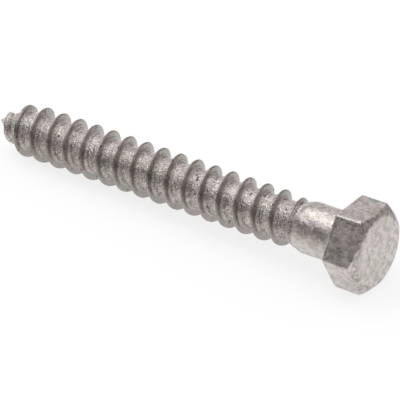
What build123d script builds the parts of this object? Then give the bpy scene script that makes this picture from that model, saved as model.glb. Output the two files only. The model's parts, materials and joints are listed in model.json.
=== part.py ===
from build123d import *
import math
import os

# hexagon-head coach screw 16 x 120, lying at rest on the floor; millimetres, +Z up, head towards +X

# head
head_across_flats = 23.2
head_height = 10.0
head_corner_radius = 1.3  # rounding of the six forged corners
head_face_diameter = 20.8  # flat end face, inside the corner chamfer
head_chamfer_angle = 30.0  # slope of the corner chamfer, degrees
under_head_bevel = 0.8  # cone where the shank meets the head

# shank and screw body, all lengths from the underside of the head towards the point
screw_length = 122.3
shank_diameter = 15.1
plain_shank_length = 12.0  # full-diameter part
neck_length = 9.0  # taper from the shank down to the core
core_diameter = 11.3
nose_length = 12.8  # rounded taper to the point
nose_fullness = 1.8  # 1 is a straight cone, more is blunter
nose_steps = 3  # cones that make up the nose

# wood-screw thread, right-handed
thread_diameter = 15.8
thread_pitch = 6.0
crest_width = 0.5
flank_angle = 16.0  # each flank from the plane square to the axis, degrees
thread_start = 15.0  # where the run-out rises from the neck
runout_length = 8.0  # from there to the full crest
runout_drop = 0.95  # how far the crest starts below its full radius
thread_phase = -69.5  # angle of the run-out about the axis, degrees
point_gap = 0.9  # how far the ridge stops short of the point
root_overlap = 0.3  # how deep the ridge is rooted in the core
points_per_turn = 10

shank_radius = shank_diameter / 2
core_radius = core_diameter / 2
thread_depth = (thread_diameter - core_diameter) / 2
neck_end = plain_shank_length + neck_length
nose_start = screw_length - nose_length
thread_end = screw_length - point_gap
flank_slope = math.tan(math.radians(flank_angle))


def nose_share(depth):
    return min(max((depth - nose_start) / nose_length, 0.0), 1.0)


def body_radius(depth):
    """Radius of the body between the threads at a depth below the head."""
    if depth < neck_end:
        share = max(depth - plain_shank_length, 0.0) / neck_length
        return shank_radius + (core_radius - shank_radius) * share
    return core_radius * (1 - nose_share(depth) ** nose_fullness)


def crest_radius(depth):
    """Radius of the thread's crest: run-out, full thread, then the gimlet point."""
    rise = min(max((depth - thread_start) / runout_length, 0.0), 1.0)
    full = thread_diameter / 2 - runout_drop * (1 - rise)
    if depth <= nose_start:
        return full
    share = (depth - nose_start) / (thread_end - nose_start)
    return body_radius(depth) + thread_depth * (1 - 0.65 * share**2 - 0.4 * share**6)


def make_head():
    corners = RegularPolygon(head_across_flats / 2, 6, major_radius=False, rotation=30)
    blank = fillet(corners.vertices(), head_corner_radius)
    prism = extrude(blank, head_height)
    reach = 0.7 * head_across_flats  # outside the corners
    drop = (reach - head_face_diameter / 2) * math.tan(math.radians(head_chamfer_angle))
    rim = head_face_diameter / 2
    shoulder = head_height - drop
    cap = Polyline((0, 0), (reach, 0), (reach, shoulder), (rim, head_height), (0, head_height), close=True)
    return prism & revolve(Plane.XZ * make_face(cap), Axis.Z)


def make_body():
    nose = [nose_start + nose_length * i / nose_steps for i in range(nose_steps + 1)]
    outline = [
        (0, 0),
        (shank_radius + under_head_bevel, 0),
        (shank_radius, -under_head_bevel),
        (shank_radius, -plain_shank_length),
        (core_radius, -neck_end),
    ] + [(body_radius(depth), -depth) for depth in nose]
    return revolve(Plane.XZ * make_face(Polyline(*outline, close=True)), Axis.Z)


def root_radius(depth):
    """Radius of the ridge's buried edges, just inside the body."""
    return max(body_radius(depth) - root_overlap, body_radius(depth) / 2)


def rail_point(rail, turn):
    """Point on one of the ridge's four edges: root, crest, crest, root."""
    depth = thread_start + thread_pitch * turn
    crest = crest_radius(depth)
    fade = min(max((crest - body_radius(depth)) / thread_depth, 0.1), 1.0)
    side = -1 if rail < 2 else 1
    shift = side * crest_width / 2 * fade
    radius = crest
    if rail in (0, 3):
        shift += side * (crest - root_radius(depth)) * flank_slope
        radius = root_radius(depth + shift)
    around = math.radians(thread_phase - 360 * turn)
    return Vector(radius * math.cos(around), radius * math.sin(around), -depth - shift)


def make_thread():
    steps = math.floor((thread_end - thread_start) / thread_pitch * points_per_turn)
    stations = [i / points_per_turn for i in range(steps + 1)]
    paths = [[rail_point(rail, turn) for turn in stations] for rail in range(4)]
    rails = [Edge.make_spline(path, parameters=stations) for path in paths]
    cuts = stations[::points_per_turn]
    if cuts[-1] < stations[-1]:
        cuts.append(stations[-1])
    faces = []
    for first, last in zip(cuts, cuts[1:]):
        edges = [rails[k].trim(rail_point(k, first), rail_point(k, last)) for k in range(4)]
        faces += [Face.make_surface_from_curves(edges[k], edges[(k + 1) % 4]) for k in range(4)]
    for turn in (cuts[0], cuts[-1]):
        faces.append(Face(Wire.make_polygon([rail_point(rail, turn) for rail in range(4)], close=True)))
    return Solid(Shell(faces))


def lay_down(screw):
    """Rest the screw on one flat of the head and the last full crest near the point."""
    droop = math.degrees(math.atan2((head_across_flats - thread_diameter) / 2, nose_start))
    lying = Rot(Y=90 - droop) * screw
    box = lying.bounding_box()
    return Pos(-box.center().X, -box.center().Y, -box.min.Z) * lying


coach_screw = lay_down(make_head() + make_body() + make_thread())
os.makedirs("parts", exist_ok=True)
export_step(coach_screw, "parts/coach_screw.step")
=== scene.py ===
import bpy
import json
import math
from mathutils import Matrix, Vector, noise


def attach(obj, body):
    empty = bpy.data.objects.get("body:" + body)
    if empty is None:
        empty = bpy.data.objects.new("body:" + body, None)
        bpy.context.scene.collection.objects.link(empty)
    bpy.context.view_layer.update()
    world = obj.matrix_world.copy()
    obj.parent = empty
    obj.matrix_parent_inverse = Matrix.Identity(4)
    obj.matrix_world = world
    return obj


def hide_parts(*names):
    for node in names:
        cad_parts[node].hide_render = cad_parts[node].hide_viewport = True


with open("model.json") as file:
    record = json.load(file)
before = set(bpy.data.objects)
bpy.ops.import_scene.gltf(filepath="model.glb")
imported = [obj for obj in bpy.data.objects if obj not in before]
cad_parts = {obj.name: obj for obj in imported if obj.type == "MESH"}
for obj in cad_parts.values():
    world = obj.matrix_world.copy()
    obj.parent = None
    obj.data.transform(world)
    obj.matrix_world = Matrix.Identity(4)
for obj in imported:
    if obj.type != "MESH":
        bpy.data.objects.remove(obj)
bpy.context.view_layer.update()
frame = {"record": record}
scene = bpy.context.scene
mm = 0.001


# node trees: a socket with operators, so that maths reads as plain expressions
class Wire:
    def __init__(self, tree, socket=None):
        self.tree = tree
        self.socket = socket

    def node(self, kind, settings=None, sockets=None, out=0):  # type, settings first, then sockets
        made = self.tree.nodes.new(kind)
        for name, value in (settings or {}).items():
            setattr(made, name, value)
        for name, value in (sockets or {}).items():
            if isinstance(value, Wire):
                self.tree.links.new(value.socket, made.inputs[name])
            else:
                made.inputs[name].default_value = value
        return Wire(self.tree, made.outputs[out] if made.outputs else None)

    def outlets(self):  # every output of this socket's node, by name
        return {socket.name: Wire(self.tree, socket) for socket in self.socket.node.outputs}

    def maths(self, operation, *values):
        return self.node("ShaderNodeMath", {"operation": operation}, dict(enumerate(values)))

    def __add__(self, other):
        return self.maths("ADD", self, other)

    def __radd__(self, other):
        return self.maths("ADD", other, self)

    def __sub__(self, other):
        return self.maths("SUBTRACT", self, other)

    def __rsub__(self, other):
        return self.maths("SUBTRACT", other, self)

    def __mul__(self, other):
        return self.maths("MULTIPLY", self, other)

    def __rmul__(self, other):
        return self.maths("MULTIPLY", other, self)

    def __truediv__(self, other):
        return self.maths("DIVIDE", self, other)

    def __rtruediv__(self, other):
        return self.maths("DIVIDE", other, self)

    def __pow__(self, other):
        return self.maths("POWER", self, other)

    def __rpow__(self, other):
        return self.maths("POWER", other, self)

    def __gt__(self, other):
        return self.maths("GREATER_THAN", self, other)

    def __lt__(self, other):
        return self.maths("LESS_THAN", self, other)

    def held(self, low=0.0, high=1.0):  # kept between two limits
        return self.maths("MINIMUM", self.maths("MAXIMUM", self, low), high)

    def above(self, edge, sharpness, share=1.0):  # rises from 0 at an edge to a share
        return ((self - edge) * sharpness).held() * share

    def below(self, edge, sharpness, share=1.0):  # falls from a share to 0 at an edge
        return ((edge - self) * sharpness).held() * share

    def eased(self):  # smooth step of a value between 0 and 1
        return self * self * (3.0 - 2.0 * self)

    def fromWhole(self):  # how far past the nearest whole number, from -0.5 to 0.5
        return self.maths("FRACT", self + 0.5) - 0.5

    def parts(self):  # the three numbers of a vector
        return list(self.node("ShaderNodeSeparateXYZ", {}, {0: self}).outlets().values())


def newMaterial(name):
    material = bpy.data.materials.new(name)
    material.use_nodes = True
    material.node_tree.nodes.clear()
    return material, Wire(material.node_tree)


# hexagon head, lengths in millimetres
head = {
    "acrossFlats": 23.2,
    "height": 10.0,
    "cornerRounding": 0.8,
    "faceDiameter": 20.8,
    "chamferAngle": 30.0,
    "bearingEdge": 0.5,  # how far each edge is rounded off
    "chamferEdge": 0.35,
    "faceEdge": 0.5,
    "faceDish": 0.10,
    "dishRadius": 9.0,
    "lumps": 0.07,  # unevenness left by forging and the zinc bath
    "lumpScale": 0.22,  # per millimetre
    "smallLumpScale": 0.7,
    "smallLumpShare": 0.4,
    "smallLumpShift": Vector((5, 5, 5)),  # so that the two noises differ
    "endLean": 1.5,  # how much more the lumps push along the axis than across it
    "innerRing": 3.0,  # radius of the first ring of points on the bearing face
    "columns": 216,
    "sideRows": 8,
    "faceRows": 10,
    "edgeRows": 5,
}


def mountNamed(name):
    return next(mount for mount in frame["record"]["mounts"] if mount["name"] == name)


# the screw's own axes, in millimetres: +Z out of the head, from the middle of the bearing face
outOfHead = -Vector(mountNamed("shank")["axis"]).normalized()
bearingCentre = Vector(mountNamed("hex_drive")["pos_m"]) - outOfHead * head["height"] / 2 * mm
acrossAxis = Vector((0, 1, 0))
downwards = acrossAxis.cross(outOfHead).normalized()
screwTurn = Matrix((downwards, acrossAxis, outOfHead)).transposed()
screwFrame = Matrix.Translation(bearingCentre) @ screwTurn.to_4x4() @ Matrix.Scale(mm, 4)


def hexagonReach(angle):
    apothem, corner, sixth = head["acrossFlats"] / 2, head["cornerRounding"], math.pi / 6
    fromFlat = (angle + sixth) % (2 * sixth) - sixth
    cornerCentre = (apothem - corner) / math.cos(sixth)
    if abs(fromFlat) <= math.atan((apothem - corner) * math.tan(sixth) / apothem):
        return apothem / math.cos(fromFlat)
    fromCorner = sixth - abs(fromFlat)
    offset = cornerCentre * math.sin(fromCorner)
    return cornerCentre * math.cos(fromCorner) + math.sqrt(corner**2 - offset**2)


def roundedCorner(before, corner, after, size):
    into, out = (before - corner).normalized(), (after - corner).normalized()
    first, last = corner + into * size, corner + out * size
    curve = []
    for k in range(head["edgeRows"] + 1):
        t = k / head["edgeRows"]
        curve.append(first * (1 - t) ** 2 + corner * 2 * t * (1 - t) + last * t**2)
    return curve


def headProfile(angle):  # distance from the axis and height, from the bearing face to the end face
    reach, height, face = hexagonReach(angle), head["height"], head["faceDiameter"] / 2
    drop = (reach - face) * math.tan(math.radians(head["chamferAngle"]))
    inner, bearing, shoulder, rim, middle = (
        Vector((head["innerRing"], 0.0)),
        Vector((reach, 0.0)),
        Vector((reach, height - drop)),
        Vector((face, height)),
        Vector((0.0, height)),
    )
    line = [Vector((0.0, 0.0)), inner, inner.lerp(bearing, 0.5)]
    line += roundedCorner(inner, bearing, shoulder, head["bearingEdge"])
    foot, top = line[-1], shoulder + Vector((0.0, -head["chamferEdge"]))
    line += [foot.lerp(top, k / head["sideRows"]) for k in range(1, head["sideRows"])]
    line += roundedCorner(bearing, shoulder, rim, head["chamferEdge"])
    line += [line[-1].lerp(rim, 0.4)]  # one row on the chamfer
    line += roundedCorner(shoulder, rim, middle, head["faceEdge"])
    edge = line[-1]
    line += [edge.lerp(middle, k / head["faceRows"]) for k in range(1, head["faceRows"])]
    return line + [middle]


def makeHead(material):  # one ring of points per step of the profile
    columns = head["columns"]
    angles = [math.tau * k / columns for k in range(columns)]
    profiles = [headProfile(angle) for angle in angles]
    rings = len(profiles[0])
    points = [Vector((0, 0, 0))]
    for ring in range(1, rings - 1):
        for angle, profile in zip(angles, profiles):
            reach, height = profile[ring]
            if height > head["height"] / 2:
                height -= head["faceDish"] * max(0.0, 1 - (reach / head["dishRadius"]) ** 2)
            points.append(Vector((reach * math.cos(angle), reach * math.sin(angle), height)))
    points.append(Vector((0, 0, head["height"] - head["faceDish"])))
    for point in points:
        if point.z > 0.01:  # the bearing face stays flat
            small = noise.noise(point * head["smallLumpScale"] + head["smallLumpShift"])
            lump = noise.noise(point * head["lumpScale"]) + head["smallLumpShare"] * small
            lean = (point.z - head["height"] / 2) * head["endLean"]
            outward = Vector((point.x, point.y, lean)).normalized()
            point += outward * lump * head["lumps"]
    faces = []
    for k in range(columns):
        after = (k + 1) % columns
        faces.append((0, 1 + after, 1 + k))
        for ring in range(rings - 3):
            low, high = 1 + ring * columns, 1 + (ring + 1) * columns
            faces.append((low + k, low + after, high + after, high + k))
        last = 1 + (rings - 3) * columns
        faces.append((last + k, last + after, len(points) - 1))
    mesh = bpy.data.meshes.new("hexagonHead")
    mesh.from_pydata(points, [], faces)
    mesh.materials.append(material)
    mesh.polygons.foreach_set("use_smooth", [True] * len(mesh.polygons))
    mesh.transform(screwFrame)
    mesh.update()
    return mesh


# shank, neck, core, gimlet point and thread, wound as one skin on a sheared grid; millimetres
threadedBody = {
    "Length": 122.3,
    "Shank Radius": 7.55,
    "Shank Length": 12.2,
    "Neck Length": 6.2,
    "Core Radius": 5.65,
    "Nose Length": 12.8,
    "Nose Fullness": 1.8,  # 1 is a straight cone, more is blunter
    "Under Head": 0.8,  # bevel where the shank meets the head
    "Thread Radius": 7.9,
    "Pitch": 6.0,
    "Crest Width": 0.4,
    "Crest Growth": 1.6,  # how much wider the crest gets by the point, on its head side
    "Flank Slope": 1.0 / math.tan(math.radians(16.0)),
    "Thread Start": 13.0,
    "Runout Length": 10.0,  # from the start to the full crest
    "Runout Drop": 1.05,  # how far the crest starts below its full radius
    "Phase": math.radians(50.5),
    "Point Gap": 0.9,  # how far the thread stops short of the point
    "Point Fall": 0.65,  # share of its height that it loses on the way there
    "Point End Fall": 0.4,  # and at the very end
    "Crest Rounding": 0.45,
    "Root Rounding": 0.9,
    "Lumps": 0.10,
    "Lump Scale": 0.45,
    "Into Head": 2.0,  # how far the skin reaches up into the head
    "Weld": 0.002,  # points nearer than this are joined
    "Rows Per Turn": 34,
    "Columns": 84,
}


def threadTree(sizes):
    group = bpy.data.node_groups.new("threadedBodyTree", "GeometryNodeTree")
    group.interface.new_socket("Geometry", in_out="OUTPUT", socket_type="NodeSocketGeometry")
    for name, value in sizes.items():
        kind = "NodeSocketInt" if isinstance(value, int) else "NodeSocketFloat"
        group.interface.new_socket(name, in_out="INPUT", socket_type=kind)
    group.interface.new_socket("Material", in_out="INPUT", socket_type="NodeSocketMaterial")
    tree = Wire(group)
    size = tree.node("NodeGroupInput").outlets()

    # each column lies a little nearer the head than the one before, so that the rows follow the helix
    step = size["Pitch"] / size["Rows Per Turn"]
    rows = tree.maths("CEIL", (size["Length"] + size["Into Head"] + size["Pitch"]) / step) + 3.0
    gridLength = (rows - 1.0) * step
    grid = tree.node(
        "GeometryNodeMeshGrid",
        {},
        {
            "Size X": gridLength,
            "Size Y": math.tau,
            "Vertices X": rows,
            "Vertices Y": size["Columns"] + 1.0,
        },
    )
    along, around = tree.node("GeometryNodeInputPosition").parts()[:2]
    along = along + gridLength / 2.0
    around = around + math.pi
    depth = along - step - size["Pitch"] * around / math.tau - size["Into Head"]  # row 0 closes the end
    depth = depth.held(0.0 - size["Into Head"], size["Length"])

    # place across one turn of the thread, and the depth of the nearest crest
    turn = (depth - size["Thread Start"]) / size["Pitch"] + (around - size["Phase"]) / math.tau
    aside = turn.fromWhole() * size["Pitch"]
    crestDepth = depth - aside
    noseStart = size["Length"] - size["Nose Length"]
    threadDepth = size["Thread Radius"] - size["Core Radius"]

    def bodyRadius(at):
        neck = ((at - size["Shank Length"]) / size["Neck Length"]).held()
        neck = neck * 0.5 + neck.eased() * 0.5  # half a cone, half a curve without corners
        nose = ((at - noseStart) / size["Nose Length"]).held()
        bevel = (size["Under Head"] - at).held(0.0, size["Under Head"])
        full = size["Shank Radius"] + (size["Core Radius"] - size["Shank Radius"]) * neck + bevel
        return full * (1.0 - nose ** size["Nose Fullness"])

    body = bodyRadius(depth)
    rise = ((crestDepth - size["Thread Start"]) / size["Runout Length"]).held()
    nose = ((crestDepth - noseStart) / size["Nose Length"]).held()
    nearPoint = ((crestDepth - noseStart) / (size["Nose Length"] - size["Point Gap"])).held()
    crest = size["Thread Radius"] - size["Runout Drop"] * (1.0 - rise)
    crest = crest - size["Core Radius"] * nose ** size["Nose Fullness"]
    lost = size["Point Fall"] * nearPoint**2.0 + size["Point End Fall"] * nearPoint**6.0
    crest = crest - threadDepth * lost
    fade = ((crest - body) / threadDepth).held(0.1, 1.0)  # 1 where the thread has its full height
    growth = size["Crest Growth"] * nose / 2.0
    fromCrest = tree.maths("ABSOLUTE", aside + growth) - growth
    flank = crest + (size["Crest Width"] / 2.0 * fade - fromCrest) * size["Flank Slope"]
    ridge = tree.maths("SMOOTH_MIN", crest, flank, size["Crest Rounding"] * fade)
    radius = tree.maths("SMOOTH_MAX", body, ridge, size["Root Rounding"] * fade)
    closing = 0.0001  # the first and the last row shrink onto the axis
    radius = radius * (along > closing) * (depth < size["Length"] - closing)

    def roundAxis(reach):
        x, y = reach * tree.maths("COSINE", around), reach * tree.maths("SINE", around)
        return tree.node("ShaderNodeCombineXYZ", {}, {"X": x, "Y": y, "Z": 0.0 - depth})

    # unevenness of the zinc, in the round so that the seam closes
    lumpNoise = {"Vector": roundAxis(radius), "Scale": size["Lump Scale"], "Detail": 2.0}
    lumps = tree.node("ShaderNodeTexNoise", {}, lumpNoise) - 0.5
    radius = radius + lumps * size["Lumps"] * 2.0 * (radius / size["Core Radius"]).held()
    wound = tree.node("GeometryNodeSetPosition", {}, {"Geometry": grid, "Position": roundAxis(radius)})
    closed = tree.node("GeometryNodeMergeByDistance", {}, {"Geometry": wound, "Distance": size["Weld"]})
    smooth = tree.node("GeometryNodeSetShadeSmooth", {}, {"Geometry": closed, "Shade Smooth": True})
    solid = tree.node("GeometryNodeRealizeInstances", {}, {"Geometry": smooth})
    coated = tree.node("GeometryNodeSetMaterial", {}, {"Geometry": solid, "Material": size["Material"]})
    tree.node("NodeGroupOutput", {}, {"Geometry": coated})
    return group


def plainMesh(group, inputs, name):
    carrier = bpy.data.objects.new(name + "Carrier", bpy.data.meshes.new(name + "Carrier"))
    scene.collection.objects.link(carrier)
    modifier = carrier.modifiers.new("wind", "NODES")
    modifier.node_group = group
    for item in group.interface.items_tree:
        if item.in_out == "INPUT" and item.name in inputs:
            modifier[item.identifier] = inputs[item.name]
    bpy.context.view_layer.update()
    ready = carrier.evaluated_get(bpy.context.evaluated_depsgraph_get())
    mesh = bpy.data.meshes.new_from_object(ready)
    carrier.modifiers.remove(modifier)
    bpy.data.objects.remove(carrier)
    return mesh


def makeThreadedBody(material):
    mesh = plainMesh(threadTree(threadedBody), dict(threadedBody, Material=material), "threadedBody")
    mesh.transform(screwFrame)
    return mesh


# hot-dip zinc, lengths in millimetres
zincLook = {
    "pale": (0.58, 0.523, 0.510, 1),
    "green": (0.50, 0.49, 0.44, 1),
    "bright": (0.86, 0.79, 0.78, 1),
    # colour of the painted glints, small painted highlights
    "glint": (0.98, 0.93, 0.92, 1),
    "dark": (0.13, 0.108, 0.102, 1),
    # each noise: scale, detail, roughness
    "broad": (0.19, 2.0, 0.5),
    "patches": (0.5, 3.0, 0.6),
    "grain": (1.15, 3.0, 0.7),
    "fine": (1.9, 2.0, 0.6),
    "streaks": (1.0, 3.0, 0.7),
    "streakSwing": 1.7,  # how fast the streaks change across the thread
    "streakRun": 0.12,  # and how slowly along it
    "pitScale": 0.36,
    # where each one shows: edge, sharpness and, for a layer of colour, its share
    "paleBroad": (0.42, 5.0),
    "brightPatches": (0.46, 8.0, 0.55),
    "darkPatches": (0.47, 8.0, 0.1),
    "brightStreaks": (0.5, 4.0, 0.6),
    "brightGrain": (0.54, 8.0, 0.5),
    "darkGrain": (0.46, 7.0, 0.2),
    "darkRim": (0.58, 6.0, 0.38),
    "brightFine": (0.53, 11.0, 0.7),
    "darkFine": (0.47, 11.0, 0.09),
    "pitCells": (0.19, 12.0),
    "pitPatches": (0.42, 12.0),
    "glintNoise": (0.55, 20.0),
    "glintPatches": (0.42, 6.0),
    # how much more the dark ones show on the end face and on the thread
    "facePatches": 0.7,
    "threadGrain": 0.5,
    "threadFine": 2.0,
    "shankPits": 0.1,  # share of the pits left on the shank and the head
    # the flanks are smoother than the roots, and darker by painted shade (a painted dark reflection)
    "flankFoot": 0.25,  # height above the core where a flank begins
    "flankRise": 0.6,
    "flankReach": (1.15, 4.0),  # distance from the crest, sharpness
    "firstTurn": (1.2, 0.3),  # the low first turn stays pale
    "flankCalm": 0.7,
    "flankPaintedShade": 0.2,
    # painted shade in the corner of each root, on the crest's head side
    "headSide": (-1.9, 2.5),  # the corner of a root on the crest's head side
    "crestSide": (0.2, 3.0),
    "cornerPaintedShade": 0.24,
    "glintHeight": (0.7, 2.0),  # glints keep to the roots
    "glintShare": 0.8,
    "pitDark": 0.85,
    "threadOnset": 1.0,  # the thread's look begins this far past its start
    "faceDepth": 0.35,  # how far below the end face its look reaches
    "rimWidth": 0.4,
    "rimSharpness": 5.0,
    "roughness": 0.31,
    "patchRoughness": 0.3,
    "grainRoughness": 0.3,
    "pitRoughness": 0.2,
    "threadPolish": 0.03,
    "roughnessLimits": (0.15, 0.9),
    "relief": {"patches": 0.35, "grain": 0.6, "fine": 0.8, "streaks": 0.6, "pits": 0.6},
    "bumpStrength": 0.9,
    "bumpHeight": 0.42,
}


def makeZinc():
    look = zincLook
    material, tree = newMaterial("galvanisedZinc")
    place = tree.node("ShaderNodeTexCoord", {}, {}, "Object")
    local = tree.node(
        "ShaderNodeMapping",
        {"vector_type": "TEXTURE"},
        {
            "Vector": place,
            "Location": bearingCentre,
            "Rotation": screwTurn.to_euler(),
            "Scale": (mm, mm, mm),
        },
    )
    x, y, z = local.parts()
    radius = (x * x + y * y) ** 0.5
    turn = tree.maths("ARCTAN2", y, x) / math.tau - z / threadedBody["Pitch"]
    swing = look["streakSwing"]
    alongTurn = tree.node(
        "ShaderNodeCombineXYZ",
        {},
        {
            "X": tree.maths("SINE", turn * math.tau) * swing,
            "Y": tree.maths("COSINE", turn * math.tau) * swing,
            "Z": z * look["streakRun"],
        },
    )

    def noiseOf(name, vector=local):
        scale, detail, rough = look[name]
        sockets = {"Vector": vector, "Scale": scale, "Detail": detail, "Roughness": rough}
        return tree.node("ShaderNodeTexNoise", {}, sockets)

    def blendOf(amount, first, second):
        return tree.node("ShaderNodeMix", {"data_type": "RGBA"}, {0: amount, 6: first, 7: second}, 2)

    broad, patches, grain, fine = (noiseOf(name) for name in ("broad", "patches", "grain", "fine"))
    streaks = noiseOf("streaks", alongTurn)
    cells = tree.node("ShaderNodeTexVoronoi", {"feature": "F1"}, {"Vector": local, "Scale": look["pitScale"]})

    # where on the thread: past its start, and how far from the crest, towards the point
    start, core = -threadedBody["Thread Start"] - look["threadOnset"], threadedBody["Core Radius"]
    onThread = z.below(start, 1.0)
    crestTurn = threadedBody["Phase"] / math.tau + threadedBody["Thread Start"] / threadedBody["Pitch"]
    aside = (turn - crestTurn).fromWhole() * threadedBody["Pitch"]
    late, lateSharpness = look["firstTurn"]
    # the flank mask calms the mottling there and carries painted shade
    flank = radius.above(core + look["flankFoot"], 1.0 / look["flankRise"])
    flank = flank * z.below(start - late, lateSharpness)
    flank = flank * tree.maths("ABSOLUTE", aside).below(*look["flankReach"])
    calm = 1.0 - flank * look["flankCalm"]
    # painted shade where a root meets the flank of the next crest
    corner = aside.above(*look["headSide"]) * aside.below(*look["crestSide"]) * onThread

    pits = cells.below(*look["pitCells"]) * patches.above(*look["pitPatches"])
    pits = pits * (look["shankPits"] + (1.0 - look["shankPits"]) * onThread)
    # painted glints: small painted highlights on the roots
    reach, reachSharpness = look["glintHeight"]
    glints = (fine * 0.5 + streaks * 0.5).above(*look["glintNoise"]) * patches.above(*look["glintPatches"])
    glints = glints * onThread * radius.below(core + reach, reachSharpness)

    # where on the head: its end face, and the rim of that face
    height, face, deep = head["height"], head["faceDiameter"] / 2, look["faceDepth"]
    chamfer = z + (radius - face) * math.tan(math.radians(head["chamferAngle"])) - height
    endFace = (z > height - deep) * (radius < face)
    rim = chamfer.above(-deep, look["rimSharpness"]) * (radius > face - look["rimWidth"])

    layers = (
        ("bright", patches.above(*look["brightPatches"]) * calm),
        ("dark", patches.below(*look["darkPatches"]) * (1.0 + endFace * look["facePatches"])),
        ("bright", streaks.above(*look["brightStreaks"]) * onThread * calm),
        ("bright", grain.above(*look["brightGrain"]) * calm),
        ("dark", grain.below(*look["darkGrain"]) * calm * (1.0 + onThread * look["threadGrain"])),
        ("dark", grain.below(*look["darkRim"]) * rim),
        ("bright", fine.above(*look["brightFine"]) * onThread * calm),
        ("dark", fine.below(*look["darkFine"]) * calm * (1.0 + onThread * look["threadFine"])),
        # painted shade: flanks and crests darkened as if they reflected dark surroundings
        ("dark", flank * look["flankPaintedShade"]),
        ("dark", corner * look["cornerPaintedShade"]),
        ("glint", glints * look["glintShare"]),
        ("dark", pits * look["pitDark"]),
    )
    tone = blendOf(broad.above(*look["paleBroad"]), look["green"], look["pale"])
    for shade, amount in layers:
        tone = blendOf(amount, tone, look[shade])

    rough = look["roughness"] + (patches - 0.5) * look["patchRoughness"]
    rough = rough + (grain - 0.5) * look["grainRoughness"] + pits * look["pitRoughness"]
    rough = rough - onThread * look["threadPolish"]
    share = look["relief"]
    ripple = fine * share["fine"] + streaks * share["streaks"]
    relief = patches * share["patches"] + (grain * share["grain"] + ripple * onThread) * calm
    relief = relief - pits * share["pits"]
    sockets = {"Strength": look["bumpStrength"], "Distance": look["bumpHeight"] * mm, "Height": relief}
    bump = tree.node("ShaderNodeBump", {}, sockets)
    shader = tree.node(
        "ShaderNodeBsdfPrincipled",
        {},
        {
            "Base Color": tone,
            "Metallic": 1.0,
            "Roughness": rough.held(*look["roughnessLimits"]),
            "Normal": bump,
        },
    )
    tree.node("ShaderNodeOutputMaterial", {}, {"Surface": shader})
    return material


zinc = makeZinc()
print("zinc material made")
bodyMesh = makeThreadedBody(zinc)
print("threaded body wound:", len(bodyMesh.polygons), "faces")
headMesh = makeHead(zinc)
print("hexagon head made:", len(headMesh.polygons), "faces")

for name, mesh in (("threadedBody", bodyMesh), ("hexagonHead", headMesh)):
    piece = bpy.data.objects.new(name, mesh)
    scene.collection.objects.link(piece)
    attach(piece, "root")
    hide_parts("coach_screw")


# white sweep under soft light, in metres
studio = {
    "white": 1.0,
    "floorColor": (0.97, 0.97, 0.97, 1),
    "shadowShare": 0.25,
    "floorSize": 4.0,
    "worldLight": 0.95,
    "softboxPlace": (-0.44, 0.0, 0.79),
    "softboxWidth": 0.62,
    "softboxDepth": 0.5,
    "softboxPower": 1.4,
}

# grey cards bent round the screw, which only gloss sees: reach and height of the section, then degrees
glossCards = {
    # painted shadow: a grey sheet on the floor in front, seen only in reflections, for the floor's shade near
    # the screw
    "frontFloorShadow": {
        "section": ((0.03, 0.001), (0.32, 0.001)),
        "from": -168,
        "to": -25,
        "steps": 28,
        "grey": 0.70,
        "tint": (1, 0.965, 0.935),
    },
    "frontSkirt": {
        "section": ((0.32, 0.001), (0.32, 0.06)),
        "from": -165,
        "to": 20,
        "steps": 36,
        "grey": 0.30,
        "tint": (1, 0.96, 0.94),
    },
    "frontWall": {
        "section": ((0.32, 0.06), (0.32, 0.285)),
        "from": -165,
        "to": 20,
        "steps": 36,
        "grey": 0.15,
        "tint": (1, 0.91, 0.92),
    },
    "sideWall": {
        "section": ((0.11, 0.001), (0.32, 0.001), (0.32, 0.3)),
        "from": 20,
        "to": 108,
        "steps": 20,
        "grey": 0.48,
        "tint": (1, 0.91, 0.92),
    },
    "backWall": {
        "section": ((0.32, 0.13), (0.32, 0.38)),
        "from": 108,
        "to": 195,
        "steps": 20,
        "grey": 0.48,
        "tint": (1, 0.91, 0.92),
    },
}


def seenDirectly(tree):  # 1 for what the camera, gloss and glass see, 0 for light on the floor
    path = tree.node("ShaderNodeLightPath").outlets()
    return (path["Is Camera Ray"] + path["Is Glossy Ray"] + path["Is Transmission Ray"]).held()


def makeWorld():
    world = bpy.data.worlds.new("studioWorld")
    scene.world = world
    world.use_nodes = True
    world.node_tree.nodes.clear()
    tree = Wire(world.node_tree)
    strength = studio["worldLight"] + seenDirectly(tree) * (studio["white"] - studio["worldLight"])
    sky = tree.node("ShaderNodeBackground", {}, {"Color": (1, 1, 1, 1), "Strength": strength})
    tree.node("ShaderNodeOutputWorld", {}, {"Surface": sky})


def makeFloor():
    half = studio["floorSize"] / 2
    mesh = bpy.data.meshes.new("floor")
    corners = [(-half, -half, 0), (half, -half, 0), (half, half, 0), (-half, half, 0)]
    mesh.from_pydata(corners, [], [(0, 1, 2, 3)])
    floor = bpy.data.objects.new("floor", mesh)
    scene.collection.objects.link(floor)
    material, tree = newMaterial("floorWhite")
    lit = tree.node("ShaderNodeBsdfDiffuse", {}, {"Color": studio["floorColor"]})
    plain = tree.node("ShaderNodeEmission", {}, {"Color": (1, 1, 1, 1), "Strength": studio["white"]})
    share = seenDirectly(tree) * (1.0 - studio["shadowShare"])
    both = tree.node("ShaderNodeMixShader", {}, {0: share, 1: lit, 2: plain})
    tree.node("ShaderNodeOutputMaterial", {}, {"Surface": both})
    mesh.materials.append(material)


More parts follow.
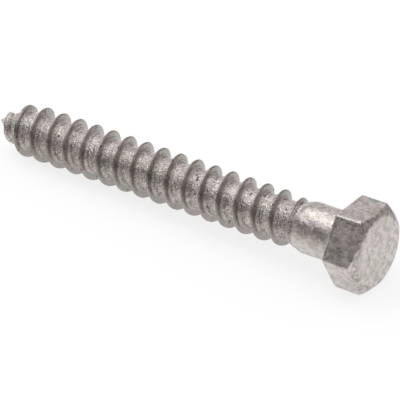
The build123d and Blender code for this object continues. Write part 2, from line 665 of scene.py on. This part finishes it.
def makeGlossCard(name, size):
    section = size["section"]
    points, faces = [], []
    for k in range(size["steps"] + 1):
        angle = math.radians(size["from"] + (size["to"] - size["from"]) * k / size["steps"])
        points += [(reach * math.cos(angle), reach * math.sin(angle), height) for reach, height in section]
    for first in range(len(points) - len(section)):
        if (first + 1) % len(section):
            faces.append((first, first + len(section), first + len(section) + 1, first + 1))
    mesh = bpy.data.meshes.new(name)
    mesh.from_pydata(points, [], faces)
    card = bpy.data.objects.new(name, mesh)
    scene.collection.objects.link(card)
    material, tree = newMaterial(name)
    color = [size["grey"] * share for share in size["tint"]] + [1]
    shade = tree.node("ShaderNodeEmission", {}, {"Color": color, "Strength": 1.0})
    tree.node("ShaderNodeOutputMaterial", {}, {"Surface": shade})
    mesh.materials.append(material)
    card.visible_camera = card.visible_shadow = card.visible_diffuse = False


def makeSoftbox():
    light = bpy.data.lights.new("overheadSoftbox", "AREA")
    light.shape = "RECTANGLE"
    light.size, light.size_y = studio["softboxWidth"], studio["softboxDepth"]
    light.energy = studio["softboxPower"]
    softbox = bpy.data.objects.new("overheadSoftbox", light)
    softbox.location = studio["softboxPlace"]
    softbox.rotation_euler = (-softbox.location).to_track_quat("-Z", "Y").to_euler()
    scene.collection.objects.link(softbox)


makeWorld()
makeFloor()
for name, size in glossCards.items():
    makeGlossCard(name, size)
makeSoftbox()
print("studio made")


# camera: degrees, and millimetres from the middle of the bearing face
view = {
    "azimuth": 34.795,
    "elevation": 31.048,
    "roll": 1.383,
    "distance": 987.98,
    "aside": -41.005,
    "above": 11.221,
    "sensor": 36.0,
    "lens": 321.41,
}


def makeCamera():
    azimuth, elevation, roll = (math.radians(view[name]) for name in ("azimuth", "elevation", "roll"))
    level = Vector((math.cos(azimuth), math.sin(azimuth), 0))
    forward = Vector((-math.sin(azimuth), math.cos(azimuth), 0))
    back = Vector((0, 0, math.sin(elevation))) - forward * math.cos(elevation)
    upright = back.cross(level)
    right = level * math.cos(roll) + upright * math.sin(roll)
    above = upright * math.cos(roll) - level * math.sin(roll)
    place = back * view["distance"] + right * view["aside"] + above * view["above"]
    turned = Matrix((right, above, back)).transposed().to_4x4()
    cameraData = bpy.data.cameras.new("studioCamera")
    cameraData.sensor_width = view["sensor"]
    cameraData.lens = view["lens"]
    camera = bpy.data.objects.new("studioCamera", cameraData)
    camera.matrix_world = Matrix.Translation(bearingCentre + place * mm) @ turned
    scene.collection.objects.link(camera)
    scene.camera = camera


makeCamera()
scene.view_settings.view_transform = "Standard"
print("camera placed")
